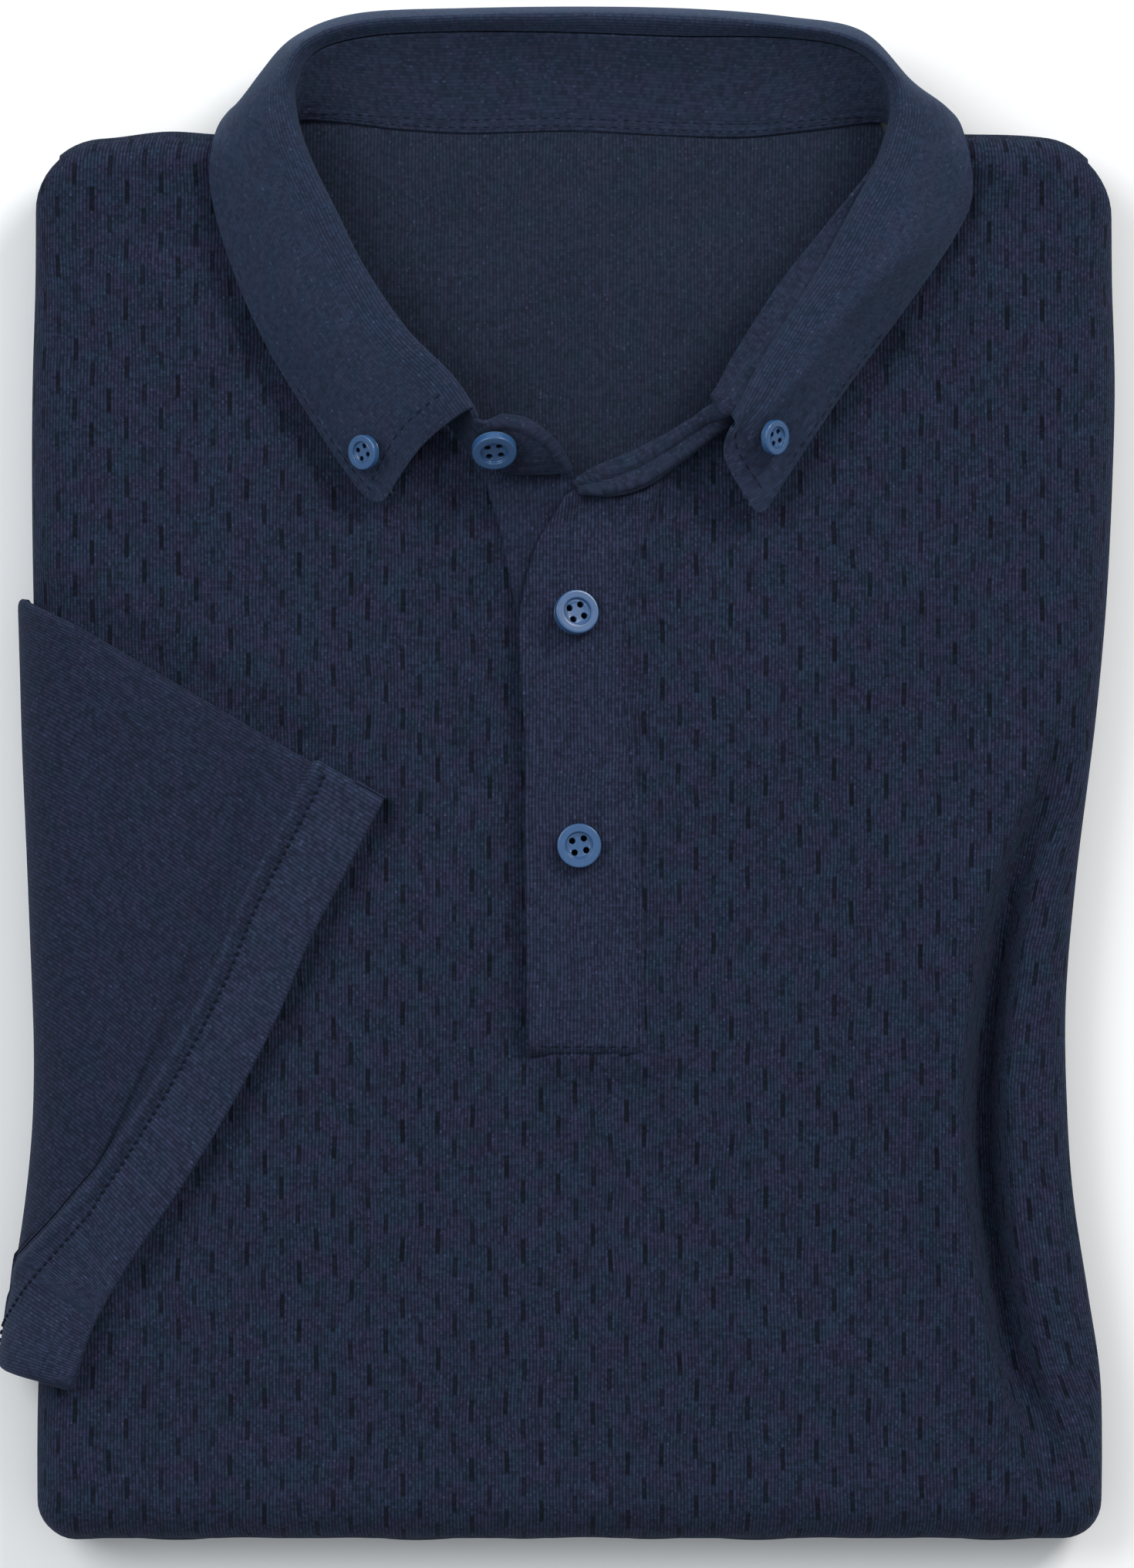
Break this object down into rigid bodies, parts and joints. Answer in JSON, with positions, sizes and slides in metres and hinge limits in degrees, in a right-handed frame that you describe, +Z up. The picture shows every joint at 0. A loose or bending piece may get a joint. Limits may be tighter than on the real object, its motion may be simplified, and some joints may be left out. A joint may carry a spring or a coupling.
{
  "type": "folded polo shirt",
  "caption": "Short-sleeved knit polo shirt with a buttoned-down collar and placket, folded into a flat bundle with one sleeve laid across its front.",
  "frame": {"origin": "on the table under the middle of the folded bundle", "axes": "+Y towards the collar, +X towards the wearer's left, +Z up from the table through the front of the shirt"},
  "size_m": [0.2887, 0.3964, 0.0416],
  "materials": {
    "pointelle_knit": "navy cotton knit with fine vertical wales and rows of short dropped-stitch dashes, matt",
    "plain_jersey": "plain navy cotton jersey with fine wales, matt",
    "collar_rib": "navy collar stand of close ribbed knit, topstitched, matt",
    "collar_jersey": "smooth brushed blue-navy jersey with a slight nap",
    "button_resin": "mid-blue pearly resin with a raised rim and four holes"
  },
  "bodies": {
    "root": {"folded_layers": "pointelle_knit", "back_panel": "plain_jersey", "front_panel": "pointelle_knit", "placket_under": "plain_jersey", "placket_top": "pointelle_knit", "collar_stand": "collar_rib", "collar_leaf": "collar_jersey", "sleeve": "plain_jersey", "sleeve_hem": "plain_jersey", "button_placket_1": "button_resin", "button_placket_2": "button_resin", "button_neck": "button_resin", "button_collar_left": "button_resin", "button_collar_right": "button_resin"}
  },
  "joints": []
}
